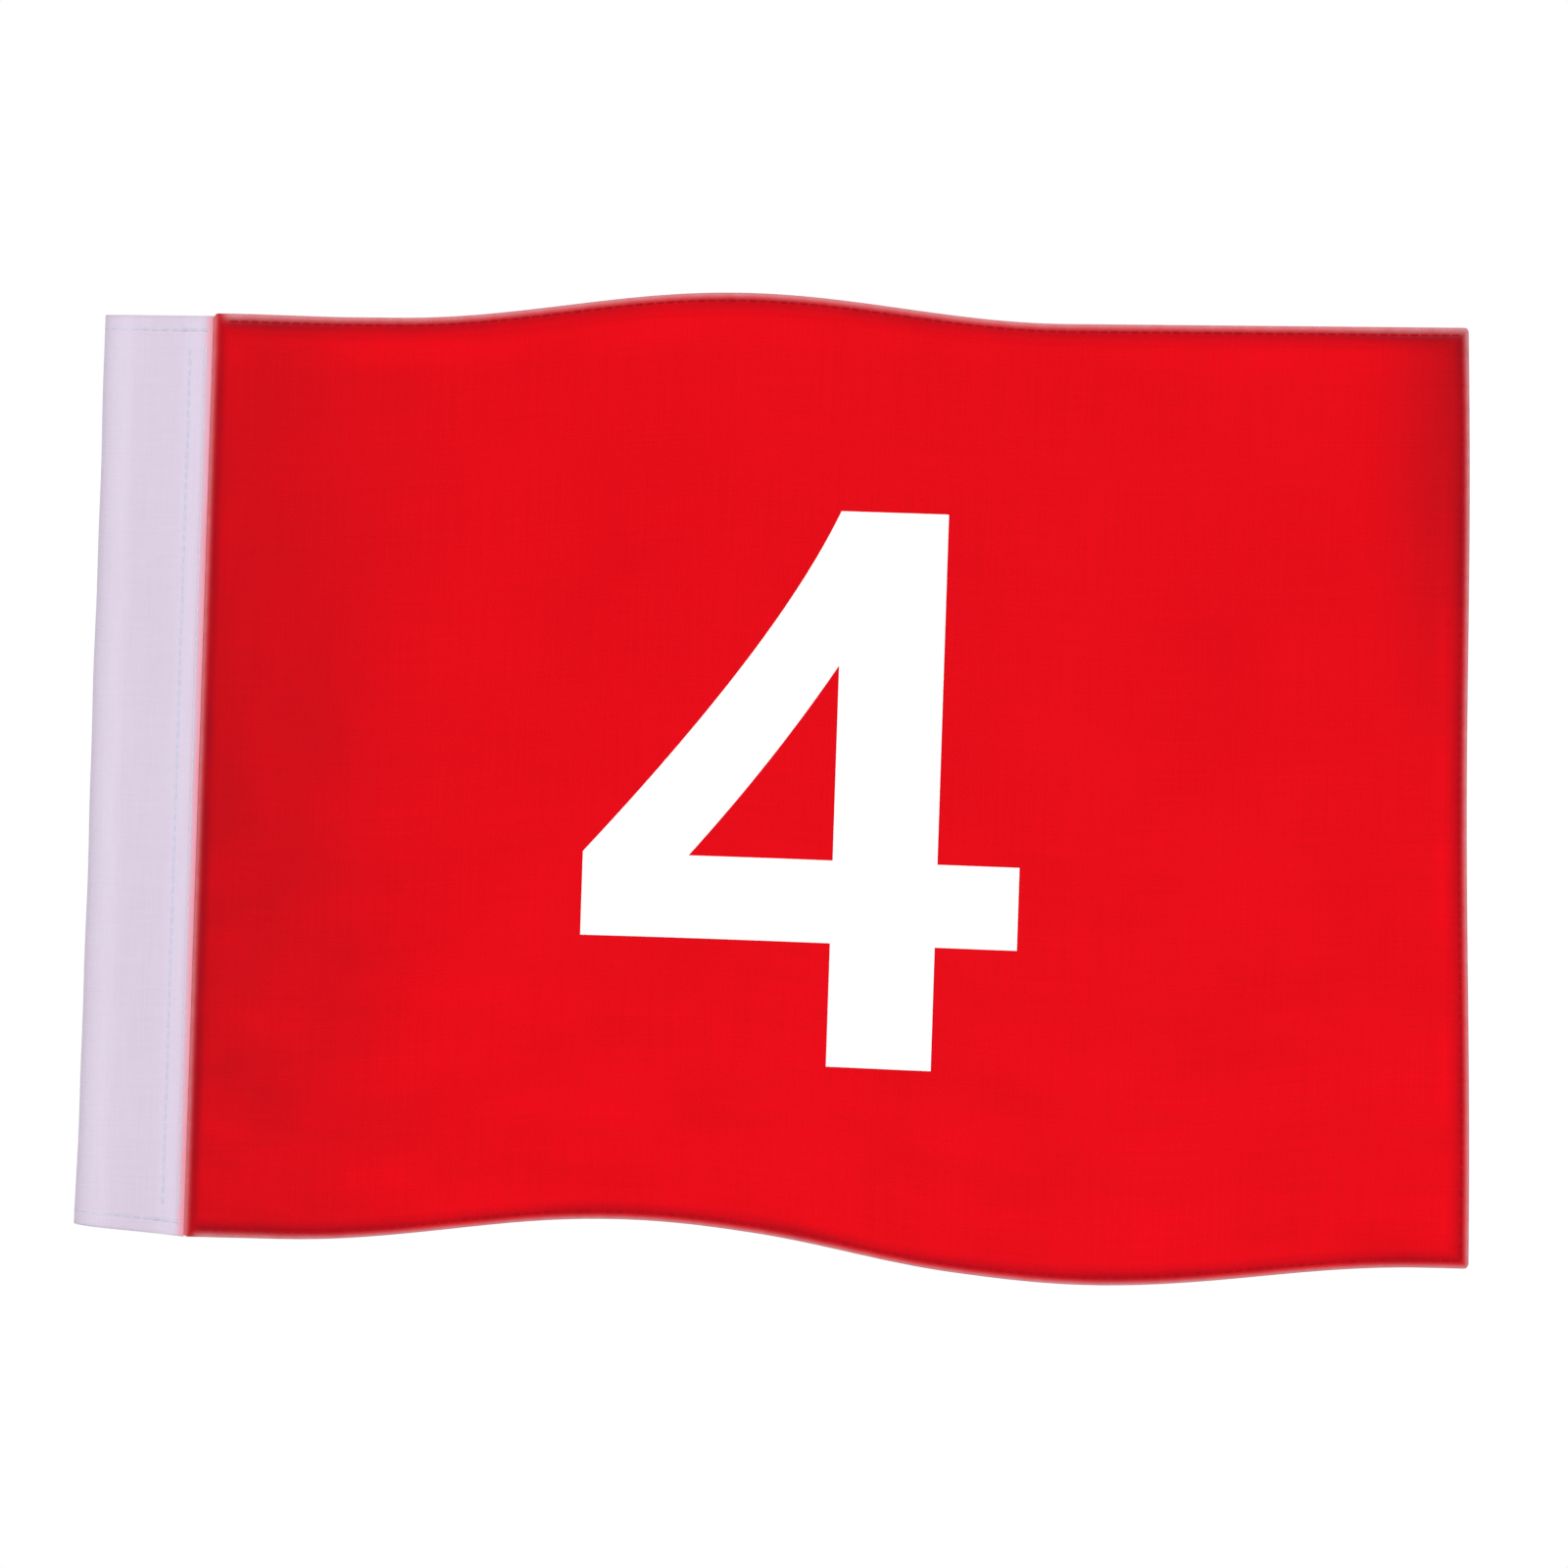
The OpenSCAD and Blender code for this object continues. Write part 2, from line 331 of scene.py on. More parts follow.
def bottom_edge(s):
    rise = BOTTOM_RISE * np.maximum(s, 0) / FLY_LEN
    lift = BOTTOM_LIFT * bell(s, BACK_FOLD_AT - FOLD_LEAN / 2)
    drop = BOTTOM_DROP * bell(s, FRONT_FOLD_AT)
    return -FLAG_H / 2 + rise + lift - drop + tuck(s, FLY_LEN + FREE_EDGE_LEAN / 2)


def height_share(s, z):
    low = bottom_edge(s)
    return (z - low) / (top_edge(s) - low)


def free_edge(v):
    """Distance of the free edge from the hinge line at a height v from 0 to 1."""
    sway = FREE_EDGE_SWAY * np.sin(TURN * 1.4 * v + 0.4)
    return FLY_LEN + FREE_EDGE_LEAN * (0.5 - v) + sway


def edge_gaps(s, z):
    """Distances to the top, bottom and free edge."""
    return top_edge(s) - z, z - bottom_edge(s), free_edge(height_share(s, z)) - s


def cloth_y(s, z):
    """Depth of the cloth's middle surface at a distance s from the hinge line and a height z."""
    v = height_share(s, z)
    back = BACK_FOLD * bell(s, BACK_FOLD_AT + FOLD_LEAN * (v - 0.5))
    front_depth = FRONT_FOLD_FOOT + (FRONT_FOLD_HEAD - FRONT_FOLD_FOOT) * v
    y = back - front_depth * bell(s, FRONT_FOLD_AT)
    free = smooth(s, 0.004, 0.06)
    for height, length_x, length_z, phase in WRINKLES:
        y = y + free * height * np.sin(TURN * (s / length_x + z / length_z) + phase)
    top, bottom, fly = edge_gaps(s, z)
    for gap, along, phase in ((top, s, 0.0), (bottom, s, 1.7), (fly, z, 0.8)):
        wave = np.sin(TURN * along / PUCKER_LEN + 1.1 * np.sin(TURN * along / 0.067 + phase))
        y = y + free * PUCKER * wave * hump(gap, 0, PUCKER_REACH)
    return y


def cloth_normal(s, z):
    """Unit normal of the cloth, towards the back."""
    step = 0.0002
    slope_s = (cloth_y(s + step, z) - cloth_y(s - step, z)) / (2 * step)
    slope_z = (cloth_y(s, z + step) - cloth_y(s, z - step)) / (2 * step)
    return unit(np.stack([-slope_s, np.ones_like(slope_s), -slope_z], axis=-1))


def half_thickness(s, z, side):
    """How far a face stands off the cloth's middle: side is -1 for the front and 1 for the back."""
    gap = np.minimum.reduce(edge_gaps(s, z))
    flying = smooth(s, -0.0006, 0.002)
    base = SEWN_HALF + (CLOTH_HALF - SEWN_HALF) * flying
    # The hem's inner edge is a crisp step at the back and only shows through softly at the front
    step = 0.0002 if side > 0 else 0.0012
    hem = smooth(s, 0.0006, 0.006) * (1 - smooth(gap, HEM_W - step, HEM_W + step))
    groove = GROOVE_DEPTH * hump(gap, HEM_ROW, GROOVE_W)
    folded = np.sqrt(1 - (1 - np.clip(gap / HEM_ROUND, 0, 1)) ** 2)
    return folded * (base + hem * (HEM_HALF - CLOTH_HALF - groove))


def on_face(s, z, side, lift=0.0):
    """Points on a face of the cloth, or lift above it."""
    middle = np.stack([HINGE_X + s, cloth_y(s, z), z + 0 * s], axis=-1)
    reach = (half_thickness(s, z, side) + lift)[..., None]
    return middle + side * reach * cloth_normal(s, z)


def worn(gap, width):
    """How strongly a rim is tinted pale at a distance from a fold, from 1 to 0."""
    return hump(np.maximum(gap, 0), 0, width)


def groove_shade(gap, outwards):
    """How much painted shade a hem's stitched groove puts on the cloth, from 0 to 1, at a distance
    from the hem's fold.
    """
    return hump(gap, HEM_ROW, np.where(gap < HEM_ROW, outwards, DARK_INWARDS))


def panel_grid():
    """Distances from the hinge line, heights, and heights on the flat cloth, of a grid of points."""
    # Columns and rows lie close together in the rim, at the hem's inner edge and beside the seam
    fine = [0, 0.00006, 0.0002, 0.00045, 0.0009, 0.0014, 0.0021, 0.0029, 0.0034, 0.004]
    coarse = [0.0046, 0.0051, 0.0059, 0.0066, 0.0072, 0.0077, 0.0081, 0.0086, 0.0093, 0.0105, 0.012]
    rim = fine + coarse
    sewn = [TAIL_X + 0.0006 - HINGE_X, -0.009, -0.004, -0.0015, -0.0006, 0]
    near_seam = [0.0006, 0.0012, 0.002, 0.003, 0.004, 0.0055]
    row_offset, row_share = level_rule(rim, rim, FLAG_H, 0.004)
    column_offset, column_share = level_rule(sewn + near_seam, rim, FLY_LEN, 0.002)
    nominal_z = row_offset + row_share * FLAG_H
    edge = free_edge(nominal_z / FLAG_H)[None, :]
    s = column_offset[:, None] + column_share[:, None] * edge
    low = bottom_edge(s)
    z = low + row_offset + row_share * (top_edge(s) - low)
    return s, z, nominal_z + 0 * s


def panel_paints(s, gaps, height):
    """Worn rims with painted highlights, painted shade, a darker head corner, painted highlights along
    the hems and a lighter foot of the cloth, by distances and by height from 0 to 1.
    """
    hem = smooth(s, 0.001, 0.006)
    head = smooth(height, 0.4, 0.95)
    # Painted shade towards the sleeve, and the cloth darker towards the free edge at the head
    hoist = (1 - smooth(s, -0.01, HOIST_SHADE_LEN)) * (0.6 + 0.4 * hump(height, 0.36, 0.34))
    corner = head * (1 - smooth(gaps[2], 0.004, CORNER_DARK_LEN))

    near_seam = hump(s, 0, HEM_END_LEN)
    near_tip = head * hump(gaps[2], 0, HEM_END_LEN)
    near_head = hump(gaps[0], 0, HEAD_END_LEN)
    ends = (np.maximum(near_seam, near_tip), near_seam, near_head)
    # Pale rims along the hems: worn, and on their rounded folds a painted highlight
    rims = [
        hem * worn(gap, width * (1 + PALE_RIM_END * end))
        for gap, width, end in zip(gaps, PALE_RIMS, ends)
    ]
    # Painted shade in the hems' stitched grooves
    rows = [
        hem * (DARK_ROW + DARK_END * end) * groove_shade(gap, outwards)
        for gap, outwards, end in zip(gaps, DARK_OUTWARDS, ends)
    ]
    # Beside the seam, a worn pale rim and a painted shadow cast by the sleeve's edge
    seam_rim = 0.8 * worn(s + SEWN_GAP, WORN_SEAM)
    seam_row = SEAM_SHADE * hump(s, SEAM_SHADE_AT, SEAM_SHADE_W)

    # Painted highlights below the top hem and beside the free edge's hem, and the cloth lighter
    # towards its foot
    below_hem = 0.22 * hump(gaps[0], 0.013, 0.006) * (1 - corner)
    beside_hem = 0.3 * hump(gaps[2], 0.010, 0.003) * (1 - head)
    lower_part = 0.2 * (1 - smooth(height, 0, 0.7))
    return {
        "worn": np.maximum.reduce([*rims, seam_rim]),
        "shade": np.maximum.reduce([*rows, seam_row]),
        "soiled": hoist + CORNER_DARK * corner,
        "rubbed": hem * np.maximum.reduce([below_hem, beside_hem, lower_part]),
    }


def make_panel():
    """The flying cloth with its hems, and with the paints that its material reads."""
    s, z, flat_z = panel_grid()
    paints = panel_paints(s, edge_gaps(s, z), flat_z / FLAG_H)
    uv = np.stack([s, flat_z], axis=-1)
    return thick_sheet("flag_cloth", on_face(s, z, -1), on_face(s, z, 1), uv, paints)


# ---------------------------------------------------------------- the numeral's films

NUMERAL_H = number_high.z - number_low.z
NUMERAL_W = number_high.x - number_low.x
NUMERAL_MIDDLE = (number_low.x + number_high.x) / 2
STEM_W = 0.0404
ARM_LEN = 0.0316
BAR_AT = 0.0477
BAR_T = 0.032
COUNTER_W = 0.056
COUNTER_H = 0.0756

# The slope starts above the bar and ends short of the stem. It and the counter's side are curves,
# pulled this far off straight
SLOPE_FOOT_RISE = 0.0004
SLOPE_HEAD_GAP = 0.001
SLOPE_PULL_LEFT = 0.024
SLOPE_PULL_DOWN = 0.052
COUNTER_PULL_LEFT = 0.024


def curve(start, pull, end, count):
    """A quadratic curve from start to end."""
    t = np.linspace(0, 1, count + 1)[:, None]
    return (1 - t) ** 2 * np.array(start) + 2 * t * (1 - t) * np.array(pull) + t * t * np.array(end)


def numeral_loops():
    """The outline of the numeral 4 and of its counter, from the foot's left end."""
    stem_right = NUMERAL_W - ARM_LEN
    stem_left = stem_right - STEM_W
    bar_top = BAR_AT + BAR_T
    slope_head = (stem_left - SLOPE_HEAD_GAP, NUMERAL_H)
    slope_pull = (stem_left - SLOPE_PULL_LEFT, NUMERAL_H - SLOPE_PULL_DOWN)
    slope_foot = (0, bar_top + SLOPE_FOOT_RISE)
    counter_head = (stem_left, bar_top + COUNTER_H)
    counter_pull = (stem_left - COUNTER_PULL_LEFT, bar_top + COUNTER_H / 2)
    counter_foot = (stem_left - COUNTER_W, bar_top)
    outline = [
        (0, BAR_AT),
        (stem_left, BAR_AT),
        (stem_left, 0),
        (stem_right, 0),
        (stem_right, BAR_AT),
        (NUMERAL_W, BAR_AT),
        (NUMERAL_W, bar_top),
        (stem_right, bar_top),
        (stem_right, NUMERAL_H),
        *curve(slope_head, slope_pull, slope_foot, 24),
    ]
    counter = [(stem_left, bar_top), *curve(counter_head, counter_pull, counter_foot, 16)]
    return outline, counter


@functools.cache
def flat_film():
    """The numeral laid flat and facing -Y: its points, its faces, and the edges of its border."""
    bm = bmesh.new()
    for loop in numeral_loops():
        corners = [bm.verts.new((x, 0, z)) for x, z in loop]
        for a, b in zip(corners, corners[1:] + corners[:1]):
            bm.edges.new((a, b))
    bmesh.ops.triangle_fill(bm, edges=bm.edges[:], use_beauty=True)
    # Cuts across the film let it follow the cloth
    cuts = [((x, 0, 0), (1, 0, 0)) for x in np.arange(0.0023, NUMERAL_W, 0.003)]
    cuts += [((0, 0, z), (0, 0, 1)) for z in np.arange(0.0031, NUMERAL_H, 0.006)]
    for point, direction in cuts:
        everything = bm.verts[:] + bm.edges[:] + bm.faces[:]
        bmesh.ops.bisect_plane(bm, geom=everything, plane_co=point, plane_no=direction, dist=1e-6)
    bmesh.ops.recalc_face_normals(bm, faces=bm.faces[:])
    bm.verts.index_update()
    flat = np.array([v.co for v in bm.verts])
    faces = [[v.index for v in f.verts] for f in bm.faces]
    if bm.faces[0].normal.y > 0:
        faces = [f[::-1] for f in faces]
    border = [
        [v.index for v in edge.verts] for edge in bm.edges if len(edge.link_faces) == 1
    ]
    bm.free()
    return flat, faces, border


def make_number(name, side):
    """The film on one face of the cloth, which reads the right way round from that side."""
    flat, faces, border = flat_film()
    x = NUMERAL_MIDDLE - side * (flat[:, 0] - NUMERAL_W / 2)
    z = number_low.z + flat[:, 2]
    outer = on_face(x - HINGE_X, z, side, SKIN_GAP + FILM_T)
    inner = on_face(x - HINGE_X, z, side, SKIN_GAP)
    count = len(flat)
    # Each border edge runs as its face does, so that the rim's faces look outwards
    runs = {(a, b) for f in faces for a, b in zip(f, f[1:] + f[:1])}
    rim = []
    for a, b in border:
        if (a, b) not in runs:
            a, b = b, a
        rim.append([b, a, a + count, b + count])
    solid = faces + [[i + count for i in f[::-1]] for f in faces] + rim
    uv = np.concatenate([flat[:, [0, 2]]] * 2)
    return new_mesh(name, np.concatenate([outer, inner]), solid, uv)


# ---------------------------------------------------------------- the sleeve

@functools.cache
def sleeve_path():
    """Middle line of the sleeve's strip, from the seam's back round the tube to the seam's front.
    Gives closely spaced points, their distances along the line, and the outward normals."""
    r = SLEEVE_R - SLEEVE_T / 2
    touch = math.atan2(TAIL_MIDDLE_Y, TAIL_X) + math.acos(r / math.hypot(TAIL_X, TAIL_MIDDLE_Y))
    around = np.linspace(touch, TURN - touch, 120)
    corners = np.concatenate([
        [(SEAM_X, TAIL_MIDDLE_Y), (TAIL_X, TAIL_MIDDLE_Y)],
        np.stack([r * np.cos(around), r * np.sin(around)], axis=1),
        [(TAIL_X, -TAIL_MIDDLE_Y), (SEAM_X, -TAIL_MIDDLE_Y)],
    ])
    walked = np.concatenate([[0], np.cumsum(np.linalg.norm(np.diff(corners, axis=0), axis=1))])
    along = np.linspace(0, walked[-1], 800)
    line = np.stack([np.interp(along, walked, corners[:, k]) for k in (0, 1)], axis=1)
    # A strip of cloth doesn't bend sharply, so a running mean rounds the corners off
    window = 15
    padded = np.pad(line, ((window // 2,) * 2, (0, 0)), mode="reflect", reflect_type="odd")
    mean = np.ones(window) / window
    line = np.stack([np.convolve(padded[:, k], mean, mode="valid") for k in (0, 1)], axis=1)
    along = np.concatenate([[0], np.cumsum(np.linalg.norm(np.diff(line, axis=0), axis=1))])
    direction = unit(np.gradient(line, axis=0))
    normal = np.stack([direction[:, 1], -direction[:, 0]], axis=1)
    return line, along, normal


def sleeve_ends(x):
    """Lowest and highest point of the sleeve at x: its round edge is shorter than its seam."""
    away = (SEAM_X - x) / (SEAM_X + SLEEVE_R)
    return -FLAG_H / 2 + ROUND_EDGE_RISE * away, FLAG_H / 2 - ROUND_EDGE_DROP * away


def along_strip(distance, values):
    """The two columns of values, taken at a distance along the sleeve's strip."""
    along = sleeve_path()[1]
    return [np.interp(distance, along, column) for column in values.T]


def on_sleeve(distance, z, offset):
    """Points of the sleeve at a distance along its strip, a height and an offset from its middle."""
    line, _, normal = sleeve_path()
    x, y = along_strip(distance, line)
    nx, ny = along_strip(distance, normal)
    # Round the tube the cloth is snug at its head and looser further down, and never inside the tube
    loose = 1 - smooth(x, 0.006, TAIL_X - 0.001)
    angle = np.arctan2(y, x)
    waves = 1 + 0.6 * np.sin(TURN * z / 0.14 + 2 * angle) + 0.4 * np.sin(TURN * z / 0.053 - angle)
    height = z / FLAG_H + 0.5
    body = BODY_SLACK * (1 - smooth(height, 0.55, 0.9)) + FOOT_SLACK * (1 - smooth(height, 0, 0.16))
    reach = offset + loose * (SLACK * waves + body)
    return np.stack([x + nx * reach, y + ny * reach, z + 0 * x], axis=-1)


def hem_layer(x, y):
    """Thickness of the turned-in hem's second layer, as a share of the strip's own thickness.
    It thins out where the two sides of the sleeve close in."""
    thinnest = 0.02
    inside = np.abs(y) - SLEEVE_T / 2
    room = np.clip((inside - 0.0002) / SLEEVE_T, thinnest, 1)
    return thinnest + (room - thinnest) * (1 - smooth(x, TAIL_X - 0.004, TAIL_X - 0.001))


def sleeve_levels(low, high, radius):
    """Heights of the sleeve's points from low to high, whose folded ends have this radius, and how
    far the cloth is open there: 0 on the very end and 1 where the fold is over."""
    fold = np.radians([0, 20, 40, 60, 90])
    rows = [0.001, 0.002, 0.004, 0.0055, 0.00585, 0.00615, 0.0066, 0.008]
    rim = [0] * len(fold) + rows
    offset, share = level_rule(rim, rim, FLAG_H, 0.002)
    z = low + offset + share * (high - low)
    swell = np.ones_like(z)
    for k, angle in enumerate(fold):
        z[:, [k]] = low + radius * (1 - math.cos(angle))
        z[:, [-1 - k]] = high - radius * (1 - math.cos(angle))
        swell[:, k] = swell[:, -1 - k] = math.sin(angle)
    count = len(fold)
    z[:, count:-count] = np.clip(z[:, count:-count], low + radius * 1.02, high - radius * 1.02)
    return z, swell


def make_sleeve():
    """A strip folded round the tube, with turned-in hems at its ends and a tail that is sewn flat."""
    line, along, _ = sleeve_path()
    length = along[-1]
    rounding = [0, 0.0001, 0.00025, 0.0005, 0.0009]
    offset, share = level_rule(rounding, rounding, length, 0.0009)
    column = (offset + share * length)[:, None]
    x, y = along_strip(column, line)
    flap = hem_layer(x, y)
    low, high = sleeve_ends(x)
    z, swell = sleeve_levels(low, high, SLEEVE_T * (1 + flap) / 2)
    distance = column + 0 * z
    from_seam = SEAM_X - x + 0 * z
    from_end = np.minimum(z - low, high - z)

    # Only the hems have the second layer, and the strip's own two edges are rounded
    layers = flap * (1 - smooth(from_end, SLEEVE_HEM - 0.0002, SLEEVE_HEM + 0.0002))
    edge = np.minimum(distance, length - distance)
    crown = np.sqrt(1 - (1 - np.clip(edge / 0.0005, 0.08, 1)) ** 2)
    middle = -layers * SLEEVE_T / 2
    half = (1 + layers) * SLEEVE_T / 2 * swell * crown

    # The seam's rows draw the tail in, most of all at their needle holes
    on_tail = 1 - smooth(from_seam, TAIL_W, TAIL_W + 0.003)
    rows_near = hump(from_seam, OUTER_ROW, ROW_DIP_W) + hump(from_seam, INNER_ROW, ROW_DIP_W)
    dimple = 0.5 + 0.5 * np.cos(TURN * z / STITCH_PITCH)
    dip = ROW_DIP * on_tail * rows_near * (0.45 + 0.55 * dimple) * swell

    outer = on_sleeve(distance, z, middle + half - dip)
    inner = on_sleeve(distance, z, middle - half)
    paints = {
        "seam": on_tail * (1 - smooth(from_seam, 0.0, TINTED_LEN)),
        "worn": 1 - smooth(from_end, 0.0003, DUSTY_LEN),
        # Painted shade along the seam's two rows
        "shade": np.clip(on_tail * rows_near, 0, 1),
    }
    return thick_sheet("sleeve_cloth", outer, inner, np.stack([distance, z], axis=-1), paints)


# ---------------------------------------------------------------- the tube

def make_tube():
    """A cut length of extruded tube whose rims are lightly rounded."""
    rim = 0.0004
    half = (tube_high.z - tube_low.z) / 2
    turns = 72
    profile = []
    for radius, z, start in (
        (TUBE_R - rim, half - rim, 0),
        (BORE_R + rim, half - rim, 90),
        (BORE_R + rim, rim - half, 180),
        (TUBE_R - rim, rim - half, 270),
    ):
        for angle in np.radians(start + np.linspace(0, 90, 5)):
            profile.append((radius + rim * math.cos(angle), z + rim * math.sin(angle)))
    profile = np.array(profile)
    theta = np.linspace(0, TURN, turns, endpoint=False)
    points = np.stack([
        np.outer(np.cos(theta), profile[:, 0]),
        np.outer(np.sin(theta), profile[:, 0]),
        np.tile(profile[:, 1], (turns, 1)),
    ], axis=-1)
    ids = np.arange(turns * len(profile)).reshape(turns, -1)
    ring = np.vstack([ids, ids[:1]])
    ring = np.hstack([ring, ring[:, :1]])
    arc = np.repeat(theta[:, None] * TUBE_R, len(profile), axis=1)
    uv = np.stack([arc, points[:, :, 2]], axis=-1)
    return new_mesh("stick_tube", points.reshape(-1, 3), grid_faces(ring), uv.reshape(-1, 2))


# ---------------------------------------------------------------- stitches

def stitch_solids(holes, normals):
    """Vertices, faces and uv of one stitch between each two neighbouring needle holes."""
    sides = 8
    rings = 7
    count = len(holes) - 1
    middle = (holes[1:] + holes[:-1]) / 2
    run = holes[1:] - holes[:-1]
    up = unit(normals[1:] + normals[:-1])
    across = unit(np.cross(run, up))
    t = np.linspace(-1, 1, rings)[None, :, None, None]
    turn = np.linspace(0, TURN, sides, endpoint=False)[None, None, :, None]
    # A stitch dips into its two holes and is flattened against the cloth between them
    bow = np.cos(math.pi * t / 2)
    lift = STITCH_R * (1.25 * bow ** 0.6 - 0.75)
    radius = STITCH_R * (0.6 + 0.4 * bow ** 0.5)
    up, across, run = (v[:, None, None, :] for v in (up, across, run))
    points = (
        middle[:, None, None, :]
        + 0.485 * t * run
        + (lift + 0.85 * radius * np.sin(turn)) * up
        + 1.2 * radius * np.cos(turn) * across
    )
    ids = np.arange(rings * sides).reshape(rings, sides)
    ends = [ids[0].tolist(), ids[-1][::-1].tolist()]
    shape = grid_faces(np.hstack([ids, ids[:, :1]])).tolist() + ends
    faces = [[i + k * rings * sides for i in face] for k in range(count) for face in shape]
    part_way = np.linspace(0, 1, rings)[None, :, None]
    length = STITCH_PITCH * (np.arange(count)[:, None, None] + part_way)
    turned = np.linspace(0, TURN * STITCH_R, sides)[None, None, :]
    uv = np.stack(np.broadcast_arrays(length, turned), axis=-1)
    return points.reshape(-1, 3), faces, uv.reshape(-1, 2)


def make_stitches(name, rows):
    """One piece with several rows of stitches, each given as needle holes and the cloth's normals."""
    points, faces, uv = [], [], []
    start = 0
    for holes, normals in rows:
        row_points, row_faces, row_uv = stitch_solids(holes, normals)
        points.append(row_points)
        faces += [[i + start for i in face] for face in row_faces]
        uv.append(row_uv)
        start += len(row_points)
    return new_mesh(name, np.concatenate(points), faces, np.concatenate(uv))


def spaced(start, end):
    """Needle holes from start to end."""
    return np.linspace(start, end, round((end - start) / STITCH_PITCH) + 1)


def make_hem_stitches(name, s, z):
    """A row on each face of the flying cloth, through the points s, z."""
    return make_stitches(
        name, [(on_face(s, z, side), side * cloth_normal(s, z)) for side in (-1, 1)]
    )


def make_seam_stitches(name, from_seam):
    """A row on each face of the sleeve's tail."""
    z = spaced(SEAM_MARGIN - FLAG_H / 2, FLAG_H / 2 - SEAM_MARGIN)
    rows = []
    for side in (-1, 1):
        y = side * (TAIL_MIDDLE_Y + SLEEVE_T / 2 - 0.0001)
        holes = np.stack([SEAM_X - from_seam + 0 * z, y + 0 * z, z], axis=1)
        rows.append((holes, np.tile([0, side, 0], (len(z), 1))))
    return make_stitches(name, rows)


def make_sleeve_hem_stitches(name, top):
    """A row round the outside of the sleeve, over one of its turned-in hems."""
    line, along, normal = sleeve_path()
    distance = spaced(0.0012, along[-1] - 0.0012)
    x, _ = along_strip(distance, line)
    low, high = sleeve_ends(x)
    z = high - SLEEVE_ROW if top else low + SLEEVE_ROW
    holes = on_sleeve(distance, z, SLEEVE_T / 2)
    outward = np.stack([*along_strip(distance, normal), 0 * z], axis=1)
    return make_stitches(name, [(holes, outward)])


# ---------------------------------------------------------------- materials

class Paint:
    """A material with short ways to add and join its nodes."""

    def __init__(self, name):
        self.material = bpy.data.materials.new(name)
        self.material.use_nodes = True
        self.tree = self.material.node_tree
        self.shader = self.tree.nodes["Principled BSDF"]

    def feed(self, socket, value):
        if isinstance(value, bpy.types.NodeSocket):
            self.tree.links.new(value, socket)
        else:
            socket.default_value = value

    def set(self, **inputs):
        for name, value in inputs.items():
            self.feed(self.shader.inputs[name.replace("_", " ")], value)

    def math(self, operation, a, b=0.0):
        node = self.tree.nodes.new("ShaderNodeMath")
        node.operation = operation
        self.feed(node.inputs[0], a)
        self.feed(node.inputs[1], b)
        return node.outputs[0]

    def scaled(self, value, low, high):
        """A value from 0 to 1, moved to lie between low and high."""
        return self.math("ADD", self.math("MULTIPLY", value, high - low), low)

    def mix(self, factor, a, b, blend="MIX"):
        node = self.tree.nodes.new("ShaderNodeMix")
        node.data_type = "RGBA"
        node.blend_type = blend
        self.feed(node.inputs[0], factor)
        self.feed(node.inputs[6], a)
        self.feed(node.inputs[7], b)
        return node.outputs[2]

    def uv(self, along=1.0, across=1.0):
        """The cloth's own flat coordinates, stretched."""
        node = self.tree.nodes.new("ShaderNodeUVMap")
        node.uv_map = "cloth"
        stretch = self.tree.nodes.new("ShaderNodeVectorMath")
        stretch.operation = "MULTIPLY"
        self.feed(stretch.inputs[0], node.outputs[0])
        self.feed(stretch.inputs[1], (along, across, 1.0))
        return stretch.outputs[0]

    def attribute(self, name):
        node = self.tree.nodes.new("ShaderNodeAttribute")
        node.attribute_name = name
        return node.outputs["Fac"]

    def noise(self, vector, detail=2.0, roughness=0.5):
        node = self.tree.nodes.new("ShaderNodeTexNoise")
        self.feed(node.inputs["Vector"], vector)
        self.feed(node.inputs["Scale"], 1.0)
        self.feed(node.inputs["Detail"], detail)
        self.feed(node.inputs["Roughness"], roughness)
        return node.outputs["Fac"]

    def weave(self, pitch):
        """(height of a plain weave from 0 to 1, which of its two threads is on top from -1 to 1)."""
        split = self.tree.nodes.new("ShaderNodeSeparateXYZ")
        self.feed(split.inputs[0], self.uv(math.pi / pitch, math.pi / pitch))
        warp = self.math("SINE", split.outputs[0])
        weft = self.math("SINE", split.outputs[1])
        over = self.math("MULTIPLY", warp, weft)
        return self.math("ABSOLUTE", over), over

    def threads(self, width, length):
        """Uneven yarn: fine streaks along both directions of the cloth, about 0.5 on average."""
        one = self.noise(self.uv(1 / width, 1 / length), detail=1.0)
        other = self.noise(self.uv(1 / length, 1 / width), detail=1.0)
        return self.math("MULTIPLY", self.math("ADD", one, other), 0.5)

    def bump(self, height, depth, strength=1.0, under=None):
        node = self.tree.nodes.new("ShaderNodeBump")
        self.feed(node.inputs["Strength"], strength)
        self.feed(node.inputs["Distance"], depth)
        self.feed(node.inputs["Height"], height)
        if under is not None:
            self.feed(node.inputs["Normal"], under)
        return node.outputs[0]


def grey(value):
    return (value, value, value, 1.0)


